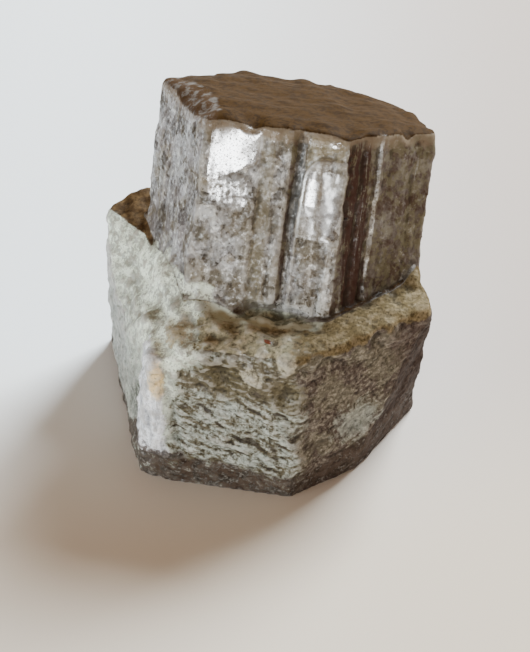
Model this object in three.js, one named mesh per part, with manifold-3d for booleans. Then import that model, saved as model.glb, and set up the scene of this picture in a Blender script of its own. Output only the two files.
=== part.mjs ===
// Aragonite specimen: a leaning pseudo-hexagonal twin crystal grown out of a wider one, on a broken foot.
// Millimetres, +Z up, origin at the bottom centre of the specimen's box, front of the specimen towards -Y.
import * as THREE from "three";
import { ConvexGeometry } from "three/addons/geometries/ConvexGeometry.js";
import { mergeVertices } from "three/addons/utils/BufferGeometryUtils.js";
import Module from "manifold-3d";

// Driving dimensions

// Both crystals are the same twin habit: three pairs of parallel faces that turn by these angles
const FRONT_TURN = 45;
const FLANK_TURN = 72;

// Sides in outline order are front, front right and flank, each repeated on the far side
const LOWER = { sides: [14.1, 16.7, 24.2], heading: -11.7, height: 18.5 };
const UPPER = { sides: [14.6, 11.3, 15.2], heading: -7.9, height: 15.4 };

// Where the upper crystal's axis leaves the lower crystal's top, how it leans, and how far it is sunk in
const UPPER_FOOT = { x: 1.5, y: 1.2, sunk: 6 };
const LEAN_BACK = 21;
const LEAN_RIGHT = 6.7;

// Grooves along the upper crystal, where slices of the twin meet: [place along the side, width, depth]
const UPPER_GROOVES = [
  [[0.42, 0.5, 0.2], [0.53, 0.9, 0.3], [0.655, 1.3, 0.75], [0.73, 0.6, 0.4], [0.9, 0.8, 0.25]],
  [[0.07, 0.6, 0.5], [0.19, 0.8, 0.7], [0.34, 0.9, 0.55], [0.5, 0.8, 0.3], [0.78, 1.0, 0.25]],
  [[0.12, 0.8, 0.4], [0.3, 0.6, 0.3], [0.48, 1.1, 0.6], [0.66, 0.7, 0.3], [0.85, 0.9, 0.4]],
  [[0.12, 0.8, 0.3], [0.34, 1.1, 0.7], [0.42, 0.6, 0.4], [0.63, 0.9, 0.45], [0.85, 0.7, 0.3]],
  [[0.2, 0.9, 0.4], [0.45, 1.2, 0.6], [0.58, 0.6, 0.35], [0.82, 0.8, 0.4]],
  [[0.16, 0.7, 0.2], [0.36, 0.9, 0.3], [0.58, 0.7, 0.25], [0.8, 0.8, 0.3]],
];

// Planes that trim each crystal: a point on each, and the way it faces
const LOWER_TRIMS = {
  leftBevel: { at: [-17, 8.5, 18.5], faces: [-0.38, -0.18, 0.91] },
  rightCorner: { at: [16.9, -8.5, 18.5], faces: [0.83, -0.53, -0.21] },
  frontLeftUndercut: { at: [1.8, -17.8, 3.3], faces: [-0.2, -0.96, -0.15] },
  frontRightUndercut: { at: [3, -17.7, 3.4], faces: [0.54, -0.82, -0.16] },
  backUndercut: { at: [3, 16.3, 2.6], faces: [0.2, 0.78, -0.6] },
  backRightBreak: { at: [11.8, 10, 18.5], faces: [0.78, 0.4, 0.48] },
};
const UPPER_TRIMS = {
  backRightStep: { at: [10.8, 12.8, 29.4], faces: [0.62, 0.77, 0.15] },
  backRightSlope: { at: [8, 11, 31.4], faces: [0.28, 0.5, 0.82] },
};

// Steep pale face on the left: its upper edge, then its lower edge just outside the flank
const LEFT_FACE = {
  upper: [[-17, 8.8, 18.5], [-12.9, 4.1, 18.5], [-10.4, -1.8, 18.5], [-9.4, -6.2, 18.4]],
  lower: [[-17.2, 6, 15.8], [-16.9, 1.2, 10.7], [-15.6, -3.5, 10.8], [-13.2, -8.6, 16.4]],
  away: -22,
  above: 24,
};

// Buttress that widens the foot on the left, and the slim crystal that stands on the front left corner
const BUTTRESS_TOE = [-13.6, -11.4, 1.2];
const CORNER_CRYSTAL = { from: [-11.5, -12.2, -0.4], to: [-10.6, -13.8, 17.6], wide: 2.1, slim: 1.3 };

// Low growth plates on the top of the upper crystal: how much of the outline, how thick, and where
const TERRACES = [
  { share: 0.88, thick: 0.3, x: -1, y: 0.2 },
  { share: 0.6, thick: 0.55, x: -3.4, y: 0.6 },
];

// Bank of rough growth between the upper crystal and the right rim
const BANK = [
  [16.7, -7.7, 18.2],
  [14.4, 1.8, 18],
  [15.7, -4, 20.2],
  [14.5, -0.4, 20.6],
  [11, -5.4, 18],
  [11, -0.6, 20.8],
];

// Scooped hollows: where, half sizes, and the heading of the long side
const SCOOPS = {
  underFront: { at: [0.1, -10.6, 18.6], size: [5.2, 1.5, 0.9], heading: -12 },
  frontUpper: { at: [-3.9, -16.7, 15.6], size: [2.1, 0.7, 2.2], heading: -12 },
  frontCorner: { at: [2.4, -18.1, 14.4], size: [1.5, 0.9, 2], heading: 10 },
  rightFace: { at: [10.2, -13.4, 9.4], size: [2.2, 0.7, 1.7], heading: 33 },
};

// Streaks on the lower faces dip towards the front corner: [side, count, dip]
const STREAKS = [
  [0, 20, 22],
  [1, 16, -16],
  [2, 10, 10],
  [3, 8, 14],
  [4, 10, -12],
];

// Rough knobs grown on the shoulder and the ledge: where, and how big
const KNOBS = [
  { at: [13.2, -2.4, 19], radius: 1.9 },
  { at: [12.6, -5.2, 17.9], radius: 1.3 },
  { at: [14.6, -5.9, 17.7], radius: 1.3 },
  { at: [2.6, -16.6, 17.6], radius: 1.2 },
  { at: [-0.6, -15.9, 17.7], radius: 1 },
  { at: [-9.6, -12.2, 16.2], radius: 1.6 },
  { at: [-13.4, 9.6, 17.6], radius: 1.7 },
];

// Chips along the edges, set out from them by a share of the crystal's width so that they only nick
const CHIP_SPACING = 3.4;
const CHIP_SIZE = [0.5, 1.3];
const CHIP_OUTSET = 0.03;

const REACH = 80;
const SEED = 11;

// Helpers

const wasm = await Module();
wasm.setup();

const radians = THREE.MathUtils.degToRad;

// Repeatable numbers, so the specimen is the same every time
let randomState = SEED;
function between(low, high) {
  randomState = (randomState * 1664525 + 1013904223) % 4294967296;
  return low + ((high - low) * randomState) / 4294967296;
}

// A closed three.js geometry as a solid that can be joined and cut
function toSolid(geometry) {
  const bare = new THREE.BufferGeometry().setAttribute("position", geometry.getAttribute("position"));
  bare.setIndex(geometry.index);
  const merged = mergeVertices(bare, 1e-4);
  return new wasm.Manifold(
    new wasm.Mesh({
      numProp: 3,
      vertProperties: merged.getAttribute("position").array,
      triVerts: new Uint32Array(merged.index.array),
    }),
  );
}

// A solid back as a geometry with flat facets
function toGeometry(solid) {
  const { vertProperties, triVerts } = solid.getMesh();
  const geometry = new THREE.BufferGeometry();
  geometry.setAttribute("position", new THREE.BufferAttribute(vertProperties, 3));
  geometry.setIndex(new THREE.BufferAttribute(triVerts, 1));
  const facets = geometry.toNonIndexed();
  facets.computeVertexNormals();
  return facets;
}

const joinAll = (solids) => solids.reduce((sum, next) => sum.add(next));

// Corners of a twin's outline: three sides, then the same three again on the far side
function twinCorners({ sides, heading }) {
  const turns = [0, FRONT_TURN, FRONT_TURN + FLANK_TURN];
  const steps = sides.map((length, i) => {
    const angle = radians(heading + turns[i]);
    return new THREE.Vector2(Math.cos(angle), Math.sin(angle)).multiplyScalar(length);
  });
  const corner = steps[0].clone().add(steps[1]).add(steps[2]).multiplyScalar(-0.5);
  const corners = [];
  for (const way of [1, -1]) {
    for (const step of steps) {
      corners.push(corner.clone());
      corner.addScaledVector(step, way);
    }
  }
  return corners;
}

// The outline with V-shaped grooves cut into its sides
function groovedOutline(corners, grooves) {
  const points = [];
  corners.forEach((start, i) => {
    const along = corners[(i + 1) % corners.length].clone().sub(start);
    const length = along.length();
    const inward = new THREE.Vector2(-along.y, along.x).divideScalar(length);
    points.push(start);
    for (const [place, width, depth] of grooves[i]) {
      const half = width / length / 2;
      points.push(start.clone().addScaledVector(along, place - half));
      points.push(start.clone().addScaledVector(along, place).addScaledVector(inward, depth));
      points.push(start.clone().addScaledVector(along, place + half));
    }
  });
  return points;
}

// An outline broken into short uneven steps, as the rim of a growth plate is
function raggedOutline(corners, share, spacing, unevenness) {
  const points = [];
  corners.forEach((start, i) => {
    const end = corners[(i + 1) % corners.length];
    const count = Math.round((start.distanceTo(end) * share) / spacing);
    for (let k = 0; k < count; k++) {
      const point = start.clone().lerp(end, k / count);
      points.push(point.multiplyScalar(share * between(1 - unevenness, 1)));
    }
  });
  return points;
}

// A prism on an outline
function prism(outline, height, steps = 1) {
  const settings = { depth: height, steps, bevelEnabled: false };
  return new THREE.ExtrudeGeometry(new THREE.Shape(outline), settings);
}

// A slow wander along a crystal's length, as grown faces have
function wander(geometry, amount) {
  const place = geometry.getAttribute("position");
  for (let i = 0; i < place.count; i++) {
    const [x, y, z] = [place.getX(i), place.getY(i), place.getZ(i)];
    const sway = Math.sin(0.5 * z + 0.8 * x) + 0.6 * Math.sin(1.2 * z - 0.7 * y);
    const swell = 1 + (amount * sway) / Math.hypot(x, y, 1);
    place.setXY(i, x * swell, y * swell);
  }
  return geometry;
}

// A shape in a random attitude
function tumbled(shape, at) {
  shape.rotateX(between(0, 6.28)).rotateY(between(0, 6.28)).rotateZ(between(0, 6.28));
  return toSolid(shape.translate(at.x, at.y, at.z));
}

// Angular chips knocked off along an edge
function edgeChips(from, to) {
  const count = Math.round(from.distanceTo(to) / CHIP_SPACING);
  const chips = [];
  for (let k = 0; k < count; k++) {
    const at = from.clone().lerp(to, (k + between(0.1, 0.9)) / count);
    const size = between(...CHIP_SIZE);
    chips.push(tumbled(new THREE.BoxGeometry(size * between(1.2, 2.4), size, size), at));
  }
  return chips;
}

const lowerCorners = twinCorners(LOWER);
const upperCorners = twinCorners(UPPER);
const lowerRim = lowerCorners.map(({ x, y }) => new THREE.Vector3(x, y, LOWER.height));

const upperFrame = new THREE.Matrix4()
  .makeRotationFromEuler(new THREE.Euler(-radians(LEAN_BACK), radians(LEAN_RIGHT), 0))
  .setPosition(UPPER_FOOT.x, UPPER_FOOT.y, LOWER.height);
const upperRim = upperCorners.map(({ x, y }) => {
  return new THREE.Vector3(x, y, UPPER.height).applyMatrix4(upperFrame);
});

// Everything on the far side of a plane
function beyond({ at, faces }) {
  const block = new THREE.BoxGeometry(REACH, REACH, REACH).translate(0, 0, REACH / 2);
  const up = new THREE.Vector3(0, 0, 1);
  const turn = new THREE.Quaternion().setFromUnitVectors(up, new THREE.Vector3(...faces).normalize());
  return toSolid(block.applyQuaternion(turn).translate(...at));
}

function trimmed(solid, planes) {
  return Object.values(planes).reduce((rest, plane) => rest.subtract(beyond(plane)), solid);
}

// Lower crystal

function lowerCrystal() {
  const streaks = STREAKS.flatMap((row) => Array.from({ length: row[1] }, () => streak(row)));
  const raised = joinAll(streaks.filter((_, i) => i % 2 === 0));
  const sunken = joinAll(streaks.filter((_, i) => i % 2 === 1));
  const block = toSolid(prism(lowerCorners, LOWER.height)).add(raised).subtract(sunken);
  const [frontLeft, , , , , left] = lowerRim;
  const foot = (corner) => corner.clone().setZ(0);
  const toe = new THREE.Vector3(...BUTTRESS_TOE);
  const inside = new THREE.Vector3(0, 0, LOWER.height / 2);
  const buttress = new ConvexGeometry([left, frontLeft, foot(left), toe, foot(toe), inside, foot(inside)]);
  const grown = block.add(toSolid(buttress)).subtract(leftFaceCut()).add(cornerCrystal());
  return trimmed(grown, LOWER_TRIMS);
}

// All that lies outside the steep left face
function leftFaceCut() {
  const { upper, lower, away, above } = LEFT_FACE;
  const outer = lower.map(([, y, z]) => [away, y, z]);
  const over = upper.flatMap(([x, y]) => [[x, y, above], [away, y, above]]);
  const corners = [...upper, ...lower, ...outer, ...over];
  return toSolid(new ConvexGeometry(corners.map((corner) => new THREE.Vector3(...corner))));
}

function cornerCrystal() {
  const from = new THREE.Vector3(...CORNER_CRYSTAL.from);
  const to = new THREE.Vector3(...CORNER_CRYSTAL.to);
  const axis = to.clone().sub(from);
  const height = axis.length();
  const crystal = new THREE.CylinderGeometry(CORNER_CRYSTAL.slim, CORNER_CRYSTAL.wide, height, 6, 4);
  const turn = new THREE.Quaternion().setFromUnitVectors(new THREE.Vector3(0, 1, 0), axis.normalize());
  const middle = from.lerp(to, 0.5);
  return toSolid(crystal.applyQuaternion(turn).translate(middle.x, middle.y, middle.z));
}

// A lens-shaped streak lying on one of the lower faces
function streak([side, , dip]) {
  const start = lowerCorners[side];
  const end = lowerCorners[(side + 1) % lowerCorners.length];
  const at = start.clone().lerp(end, between(0.06, 0.94));
  const lens = new THREE.IcosahedronGeometry(1, 0).rotateX(between(0, 6.28));
  lens.scale(between(0.8, 2.2), between(0.25, 0.5), between(0.25, 0.5));
  lens.rotateY(radians(dip + between(-6, 6))).rotateZ(end.clone().sub(start).angle());
  return toSolid(lens.translate(at.x, at.y, between(3.5, LOWER.height - 0.6)));
}

// Upper crystal

function upperCrystal() {
  const { sunk } = UPPER_FOOT;
  const shaft = prism(groovedOutline(upperCorners, UPPER_GROOVES), UPPER.height + sunk, 8);
  const solids = [toSolid(wander(shaft, 0.1).translate(0, 0, -sunk).applyMatrix4(upperFrame))];
  for (const { share, thick, x, y } of TERRACES) {
    const plate = prism(raggedOutline(upperCorners, share, 1.6, 0.09), thick + 1);
    solids.push(toSolid(plate.translate(x, y, UPPER.height - 1).applyMatrix4(upperFrame)));
  }
  return trimmed(joinAll(solids), UPPER_TRIMS);
}

// Wear: chips along the rims and the standing edges, but for a sheltered one, and scooped hollows

function wornEdges(rim, down, sheltered = -1) {
  const middle = rim[0].clone().lerp(rim[3], 0.5);
  const outset = rim.map((corner) => corner.clone().lerp(middle, -CHIP_OUTSET));
  const chips = outset.flatMap((corner, i) => {
    const along = edgeChips(corner, outset[(i + 1) % rim.length]);
    const standing = i === sheltered ? [] : edgeChips(corner, corner.clone().add(down));
    return [...along, ...standing];
  });
  return joinAll(chips);
}

function scoop({ at, size, heading }) {
  const dish = new THREE.IcosahedronGeometry(1, 1).scale(...size).rotateZ(radians(heading));
  return toSolid(dish.translate(...at));
}

const lowerDown = new THREE.Vector3(0, 0, 3 - LOWER.height);
const upperTurn = new THREE.Quaternion().setFromRotationMatrix(upperFrame);
const upperDown = new THREE.Vector3(0, 0, -UPPER.height).applyQuaternion(upperTurn);

const knobs = KNOBS.map(({ at, radius }) => {
  return tumbled(new THREE.IcosahedronGeometry(radius, 0), new THREE.Vector3(...at));
});

const bank = toSolid(new ConvexGeometry(BANK.map((point) => new THREE.Vector3(...point))));
const scoops = Object.values(SCOOPS).map(scoop);

// The slim crystal covers the front left corner, so that standing edge isn't chipped
const lowerWear = wornEdges(lowerRim, lowerDown, 0);
const lower = lowerCrystal().add(bank).subtract(lowerWear).add(joinAll(knobs));
const upper = upperCrystal().subtract(wornEdges(upperRim, upperDown));
const ground = beyond({ at: [0, 0, 0], faces: [0, 0, -1] });
const specimen = lower.add(upper).subtract(joinAll(scoops)).subtract(ground);

const geometry = toGeometry(specimen);
geometry.computeBoundingBox();
const box = geometry.boundingBox;
geometry.translate(-(box.min.x + box.max.x) / 2, -(box.min.y + box.max.y) / 2, -box.min.z);

const aragonite = new THREE.MeshStandardMaterial({ color: 0x85796a, roughness: 0.5, metalness: 0 });
const mesh = new THREE.Mesh(geometry, aragonite);
mesh.name = "aragonite_twin";

const part = new THREE.Group();
part.add(mesh);

export default part;
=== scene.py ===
# %% [markdown]
# An aragonite specimen: two crystals of the same habit grown through each other. The lower one is wide and
# stubby, and the upper one leans back out of it and ends in a brown flat top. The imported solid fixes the
# size and the main faces. The surface could be modelled face by face, but growth and wear are irregular,
# so this lesson carves a fine copy of the solid and paints it with a procedural finish.

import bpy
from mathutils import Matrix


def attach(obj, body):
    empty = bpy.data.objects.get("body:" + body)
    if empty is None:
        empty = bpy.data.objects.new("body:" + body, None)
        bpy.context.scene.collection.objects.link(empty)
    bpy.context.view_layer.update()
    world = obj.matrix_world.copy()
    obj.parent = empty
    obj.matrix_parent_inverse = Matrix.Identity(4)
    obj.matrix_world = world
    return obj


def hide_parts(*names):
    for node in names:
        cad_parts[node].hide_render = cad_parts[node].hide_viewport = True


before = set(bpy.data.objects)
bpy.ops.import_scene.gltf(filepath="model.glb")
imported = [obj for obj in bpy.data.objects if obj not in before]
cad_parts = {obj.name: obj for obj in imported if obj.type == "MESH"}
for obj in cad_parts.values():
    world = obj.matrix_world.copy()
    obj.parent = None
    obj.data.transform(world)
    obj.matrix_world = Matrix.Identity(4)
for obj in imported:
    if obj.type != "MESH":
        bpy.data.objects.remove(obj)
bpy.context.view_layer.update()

# %% [markdown]
# A few small tools serve every step. Places on the stone are written in millimetres, which suit its size.
# A soft step stands in for a hard edge, because nothing on a grown crystal ends at a ruled line.

# %% Tools used all through
import math

import bmesh
import bpy
from mathutils import Matrix, Vector, noise

MM = 0.001


def add_object(name, data):
    piece = bpy.data.objects.new(name, data)
    bpy.context.scene.collection.objects.link(piece)
    return piece


def smooth_step(value, low, high):
    share = min(max((value - low) / (high - low), 0), 1)
    return share * share * (3 - 2 * share)


def fade(value, low, high):
    return 1 - smooth_step(value, low, high)


def within(value, low, high, soft):
    return smooth_step(value, low - soft, low + soft) * fade(value, high - soft, high + soft)


def wave(place, scale):
    """Noise from about -1 to 1. Its lumps are about 1 / scale millimetres wide."""
    return noise.noise(place * scale)


print("millimetres in one unit of the frame:", round(1 / MM))

# %% [markdown]
# The camera stands as a person does over a table: about 30 cm away and 39 degrees above the ground. A wide
# lens close by would spread the standing edges, so a long lens keeps them almost parallel.

# %% Camera
CAMERA_PLACE = Vector((-0.27, -242.5, 205.1)) * MM
CAMERA_DOWN = math.radians(39)
FRAME_HEIGHT_PX = 652
FOCAL_LENGTH_PX = 2950

camera_data = bpy.data.cameras.new("camera")
camera_data.lens = camera_data.sensor_width * FOCAL_LENGTH_PX / FRAME_HEIGHT_PX
camera = add_object("camera", camera_data)
camera.location = CAMERA_PLACE
camera.rotation_euler = (math.radians(90) - CAMERA_DOWN, 0, 0)
bpy.context.scene.camera = camera
print("lens in mm:", round(camera_data.lens, 1))

# %% [markdown]
# Soft light comes from behind on the right, so the shadow falls to the front left, where a weak fill and
# the warm light of the room reach. A small bright window in front makes the flat faces flash. Area lights
# do this better than points or a sun, because a flat face mirrors their shape.

# %% Lights
# Name, place, aim, size, watts and tint, in metres
LIGHTS = (
    ("back_right", (0.33, 0.42, 0.44), (0, 0, 0.015), (0.3, 0.3), 18, (0.86, 0.95, 1)),
    ("front_window", (-0.22, -0.8, 0.13), (0, 0, 0.03), (0.13, 0.15), 3.4, (0.95, 0.98, 1)),
    ("left_fill", (-0.55, -0.3, 0.09), (0, 0, 0.02), (0.4, 0.14), 2.8, (0.86, 0.96, 1)),
)
ROOM_TINT = (1, 0.6, 0.3, 1)
ROOM_STRENGTH = 0.3


def add_light(name, place, aim, size, watts, light_tint):
    data = bpy.data.lights.new(name, "AREA")
    data.shape = "RECTANGLE"
    data.size, data.size_y = size
    data.energy = watts
    data.color = light_tint
    light = add_object(name, data)
    light.location = place
    light.rotation_euler = (Vector(aim) - Vector(place)).to_track_quat("-Z", "Y").to_euler()


for light_values in LIGHTS:
    add_light(*light_values)
world = bpy.data.worlds.new("room")
world.use_nodes = True
room = world.node_tree.nodes["Background"]
room.inputs["Color"].default_value = ROOM_TINT
room.inputs["Strength"].default_value = ROOM_STRENGTH
bpy.context.scene.world = world
print("lights:", len(LIGHTS), "and the room")

# %% [markdown]
# The specimen stands on a plain pale sheet. One large square is enough, because the sheet has no edge in
# view.

# %% Floor
FLOOR_SIZE = 3

floor_shape = bmesh.new()
bmesh.ops.create_grid(floor_shape, x_segments=1, y_segments=1, size=FLOOR_SIZE / 2)
floor_mesh = bpy.data.meshes.new("floor")
floor_shape.to_mesh(floor_mesh)
floor_shape.free()
floor = add_object("floor", floor_mesh)
print("floor side in metres:", FLOOR_SIZE)

# %% [markdown]
# Each crystal has its own grain. The upper crystal's striations run along its leaning axis. They could
# follow the upright axis of the frame, but they would then cut across its edges, so places on it are
# measured in a frame that leans with it: across a face from its left corner, and up from its foot.

# %% Leaning frame of the upper crystal
LEDGE = 18.5
UPPER_FOOT = Vector((1.35, 1.22, LEDGE))
UPPER_TOP = 15.4
UPPER_SIDES = (14.6, 11.3, 15.2)
UPPER_HEADING = -7.9
SIDE_TURNS = (0, 45, 117)
FRONT, FRONT_RIGHT, LEFT_FACE = 0, 1, 5
LEAN_RIGHT = 6.7
LEAN_BACK = -21

leaning_right = Matrix.Rotation(math.radians(LEAN_RIGHT), 3, "Y")
leaning_back = Matrix.Rotation(math.radians(LEAN_BACK), 3, "X")
from_upper = leaning_back @ leaning_right
to_upper = from_upper.transposed()


def side_walls(sides, heading):
    """Each side's left corner, its direction and its outward direction."""
    angles = [math.radians(heading + turn) for turn in SIDE_TURNS]
    ways = [Vector((math.cos(angle), math.sin(angle))) for angle in angles]
    corner = -sum((way * side for way, side in zip(ways, sides)), Vector((0, 0))) / 2
    walls = []
    for flip in (1, -1):
        for way, side in zip(ways, sides):
            walls.append((corner.copy(), way * flip, Vector((way.y, -way.x)) * flip))
            corner = corner + way * side * flip
    return walls


upper_walls = side_walls(UPPER_SIDES, UPPER_HEADING)
print("sides of the upper crystal:", len(upper_walls))

# %% [markdown]
# Three measures are needed from here on: where a place lies on the upper crystal, how deep it lies under
# the worn edge of its top, and how high it lies on the lower crystal's streaks, which dip towards the
# front corner.

# %% Measures on the stone
WORN_WIDTH = 0.5
WORN_EXTRA = 0.6
FRONT_CORNER_X = 2.4
STREAK_DIP = 0.36


def on_upper(place):
    """How far outside the upper crystal a place is, on which side, how far across it and how far up."""
    lean = to_upper @ (place - UPPER_FOOT)
    outs = [outward.dot(lean.xy - corner) for corner, _, outward in upper_walls]
    side = outs.index(max(outs))
    corner, way, _ = upper_walls[side]
    return lean, outs[side], side, way.dot(lean.xy - corner)


def worn_depth(lean):
    """How deep a place lies under the worn edge between the top and the left face."""
    corner, way, outward = upper_walls[LEFT_FACE]
    along = way.dot(lean.xy - corner) / UPPER_SIDES[2]
    width = WORN_WIDTH + WORN_EXTRA * within(along, 0.3, 0.9, 0.2)
    return UPPER_TOP - lean.z - outward.dot(lean.xy - corner) - width


def streak_height(place):
    return place.z - STREAK_DIP * abs(place.x - FRONT_CORNER_X)


print("the streaks dip", round(math.degrees(math.atan(STREAK_DIP))), "degrees")

# %% [markdown]
# Pale crust has grown in the corner between the two crystals. It could be painted, but it really fills the
# corner, so a row of overlapping beads is laid along the join. They fuse with the stone in the next step.

# %% Crust beads
BEAD_GAP = 0.55
BEADS_LEFT = 15
BEADS_FRONT = 9
FIRST_BEAD = 7.5
BEAD_RADIUS = 1.2
BEAD_SHIFT = 0.7


def foot_place(side, across):
    """A place on the line where one side of the upper crystal meets the ledge."""
    corner, way, _ = upper_walls[side]
    flat = corner + way * across
    rise = -(from_upper[2][0] * flat.x + from_upper[2][1] * flat.y) / from_upper[2][2]
    return UPPER_FOOT + from_upper @ Vector((flat.x, flat.y, rise))


def crust_beads():
    middles = [foot_place(LEFT_FACE, FIRST_BEAD + BEAD_GAP * count) for count in range(BEADS_LEFT)]
    middles += [foot_place(FRONT, BEAD_GAP * count) for count in range(BEADS_FRONT)]
    beads = []
    for count, middle in enumerate(middles):
        shrink = 1 - 0.5 * max(count - BEADS_LEFT, 0) / BEADS_FRONT
        radius = shrink * (BEAD_RADIUS + 0.7 * wave(middle, 1.3))
        shift = Vector((wave(middle, 1.7), wave(middle, 2.1), 0.4 * wave(middle, 1) - 0.35))
        beads.append((middle + BEAD_SHIFT * shift, radius))
    return beads


print("crust beads:", len(crust_beads()))

# %% [markdown]
# The stone starts as a copy of the solid. Its triangles are long and thin and would fold when carved. They
# could be subdivided, but the thin ones stay thin, so the copy is rebuilt from small cubes of space. That
# gives an even mesh fine enough to carve, and rounds every edge a little, as handling does.

# %% Even mesh
NODE = "aragonite_twin"
VOXEL = 0.26 * MM
EDGE_ROUNDS = 3
MERGE_GAP = 1e-6


def even_copy(node, voxel):
    shape = bmesh.new()
    shape.from_mesh(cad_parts[node].data)
    bmesh.ops.remove_doubles(shape, verts=shape.verts, dist=MERGE_GAP)
    for middle, radius in crust_beads():
        spot = Matrix.Translation(middle * MM)
        bmesh.ops.create_icosphere(shape, subdivisions=2, radius=radius * MM, matrix=spot)
    mesh = bpy.data.meshes.new("rough_copy")
    shape.to_mesh(mesh)
    shape.free()
    rough = add_object("rough_copy", mesh)
    remesh = rough.modifiers.new("even", "REMESH")
    remesh.mode = "VOXEL"
    remesh.voxel_size = voxel
    scene_now = bpy.context.evaluated_depsgraph_get()
    even = bpy.data.meshes.new_from_object(rough.evaluated_get(scene_now))
    bpy.data.objects.remove(rough)
    return even


def soften(shape, verts, rounds):
    for _ in range(rounds):
        bmesh.ops.smooth_vert(
            shape, verts=verts, factor=0.5, use_axis_x=True, use_axis_y=True, use_axis_z=True
        )
    shape.normal_update()


stone_mesh = even_copy(NODE, VOXEL)
stone_shape = bmesh.new()
stone_shape.from_mesh(stone_mesh)
soften(stone_shape, stone_shape.verts, EDGE_ROUNDS)
print("even mesh:", len(stone_shape.verts), "vertices,", len(stone_shape.faces), "faces")

# %% [markdown]
# The surface is told apart into zones that soften into each other. They could be painted by hand as vertex
# colours, but a formula keeps them in place when the mesh changes. Both the carving and the finish read
# them. The first zones are the upper crystal, its brown top, the rim below the top and the worn edge, and
# then the right, far right and left sides and the part that gathers dirt.

# %% Zones of the upper crystal
def upper_zones(place, facing, lean, outside):
    upper = fade(outside, 0.2, 0.6) * smooth_step(place.z, LEDGE - 0.5, LEDGE + 0.5)
    top = upper * smooth_step((to_upper @ facing).z, 0.25, 0.7)
    rim = upper * smooth_step(lean.z + 0.8 * wave(place, 0.7), UPPER_TOP - 3, UPPER_TOP - 0.3)
    worn = upper * fade(worn_depth(lean), 0.2, 2)
    return {"upper": upper, "top": top, "rim": rim, "worn": worn}


def side_zones(place, facing, upper):
    corner = smooth_step(place.x + 2 * wave(place, 0.35), FRONT_CORNER_X - 1.5, FRONT_CORNER_X + 3)
    right = upper * smooth_step(facing.x, 0.2, 0.5) + (1 - upper) * corner
    far = smooth_step(facing.x, 0.66, 0.8)
    left = smooth_step(-facing.x, 0.3, 0.75)
    return {"right": right, "far": far, "left": left, "dirty": smooth_step(place.x, -9, -5)}


print("upper zones reach up to", UPPER_TOP, "mm above the ledge")

# %% [markdown]
# The ledge round the upper crystal is olive in front, tan on the right shoulder and brown on the wing at
# the back left. Below the wing one steep face is pale grey-green, and its far edge is violet.

# %% Zones of the ledge and of the pale left side
WING_BEND_Y = 4
WING_BEND_X = -13.05


def wing_edge(y):
    """The upper edge of the steep pale face, in two straight lines."""
    slope = 0.85 if y > WING_BEND_Y else 0.42
    return WING_BEND_X - slope * (y - WING_BEND_Y)


def ledge_zones(place, facing, lower):
    ledge = lower * smooth_step(facing.z, 0.5, 0.85)
    shoulder = lower * smooth_step(place.z + 0.9 * wave(place, 0.7), 17, 18.1)
    shoulder *= smooth_step(place.x + 2 * wave(place, 0.4), 0, 5)
    wing = lower * smooth_step(place.x - wing_edge(place.y), -0.4, 0.2) * smooth_step(place.y, -0.5, 2)
    wing *= smooth_step(facing.z, 0.3, 0.7) * fade(place.x, -4, 0)
    return {"ledge": ledge, "shoulder": shoulder, "wing": wing}


def pale_zones(place, facing, lower, wing):
    edge = place.x + 1.6 * wave(place, 0.4) - 0.25 * (place.z - 10)
    pale = lower * fade(edge, -11.5, -7) * (1 - wing)
    flank = lower * smooth_step(-facing.x, 0.84, 0.94) * fade(place.x, -15.5, -14.5)
    return {"pale": pale, "flank": flank}


print("the wing's edge bends at", (WING_BEND_X, WING_BEND_Y))

# %% [markdown]
# Crust hides the join on the left: it climbs the upper crystal a little, and the corner under it is
# filled. At the front left a slim white crystal stands along the corner, with a dark seam on either side
# of it.

# %% Zones of the join and of the slim corner crystal
CLIMB_X = -8
CLIMB_HEIGHT = 3
PILLAR_BOTTOM, PILLAR_TOP = 3.5, 16.6
PILLAR_BACK_Y = -10.85


def join_zones(place, outside, upper, wing):
    height = CLIMB_HEIGHT * fade(abs(place.x - CLIMB_X), 1, 5) - 0.6
    climb = upper * fade(place.z + 1.2 * wave(place, 0.7) - LEDGE - height, -0.6, 0.8)
    junction = fade(abs(outside), 1.4, 2.4) * fade(abs(place.z - LEDGE), 1.4, 2.6)
    junction *= fade(place.x, -4, -1) * (1 - wing)
    return {"climb": climb, "junction": junction}


def pillar_share(place):
    """Where a place lies across the slim corner crystal: 0 at its left edge and 1 at its right edge."""
    sway = 0.5 * wave(place, 0.45) + 0.3 * wave(place, 1.3)
    left = -13.5 + 0.1 * (place.z - 5) + sway
    right = -9.8 - 0.07 * (place.z - 6) + sway
    return (place.x - left) / (right - left)


def pillar_zones(place, lower):
    share = pillar_share(place)
    waver = 0.8 * wave(place, 0.5) + 0.4 * wave(place, 1.3)
    forward = fade(place.y + waver - PILLAR_BACK_Y, -0.55, 0.55)
    pillar = lower * forward * fade(share, 0.7, 1.15) * within(place.z, PILLAR_BOTTOM, PILLAR_TOP, 0.6)
    behind = place.y + 7 + 0.38 * (place.z - 5.3) + 1.5 * wave(place, 0.4)
    seam = (1 - forward) * fade(behind, -1.6, 1.4) * fade(place.x, -11.5, -10.5)
    seam *= within(place.z, 4.5, 17, 1)
    seam_right = within(place.z, 5, 11, 1) * within(share, 1.1, 1.3, 0.1) * fade(place.y, -13, -12)
    return {"pillar": pillar, "seam": lower * max(seam, 0.8 * seam_right)}


print("the slim crystal stands from", PILLAR_BOTTOM, "to", PILLAR_TOP, "mm")

# %% [markdown]
# The foot is broken and dark. Its upper line rises from the front corner to both sides and is ragged. It
# drops on the left, where the pale face reaches the ground. All zones are then gathered by name.

# %% Zone of the foot, and all zones together
FOOT_TIP = 2.5
FOOT_SLOPE_LEFT = 0.16
FOOT_SLOPE_RIGHT = 0.26
FOOT_DROP_LEFT = 4


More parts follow.
